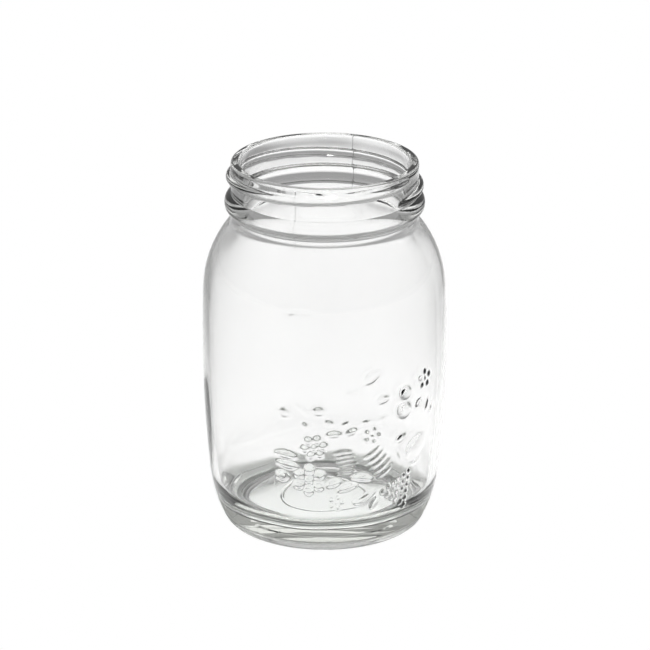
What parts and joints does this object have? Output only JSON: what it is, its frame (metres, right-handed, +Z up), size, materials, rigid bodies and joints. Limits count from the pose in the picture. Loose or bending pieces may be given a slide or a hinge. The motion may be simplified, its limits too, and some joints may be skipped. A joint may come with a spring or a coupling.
{
  "type": "mason jar",
  "caption": "Clear glass preserving jar with a barrel-shaped body, rounded shoulder, screw-thread neck with a transfer bead and a raised fruit and flower spray on one side.",
  "frame": {"origin": "centre of the base, on the surface that the jar stands on", "axes": "+Z up along the jar's axis; the raised spray faces the front, -Y, and reaches round to +X"},
  "size_m": [0.088, 0.0886, 0.135],
  "materials": {
    "clear_glass": "fire polished, colourless soda-lime glass"
  },
  "bodies": {
    "root": {"base_plate": "clear_glass", "bearing_ring": "clear_glass", "heel": "clear_glass", "body_wall": "clear_glass", "shoulder": "clear_glass", "neck_root": "clear_glass", "neck_wall": "clear_glass", "transfer_bead": "clear_glass", "screw_thread": "clear_glass", "sealing_lip": "clear_glass", "baffle_ring": "clear_glass", "neck_mould_seams": "clear_glass", "body_mould_seams": "clear_glass", "large_blossom_relief": "clear_glass", "small_blossom_relief": "clear_glass", "left_leaf_relief": "clear_glass", "middle_leaf_relief": "clear_glass", "right_leaf_relief": "clear_glass", "stem_relief": "clear_glass", "cherry_relief": "clear_glass", "plum_relief": "clear_glass", "grape_relief": "clear_glass", "gourd_rib_relief": "clear_glass", "ribbon_relief": "clear_glass", "sprig_relief": "clear_glass", "shoulder_leaf_relief": "clear_glass"}
  },
  "joints": []
}
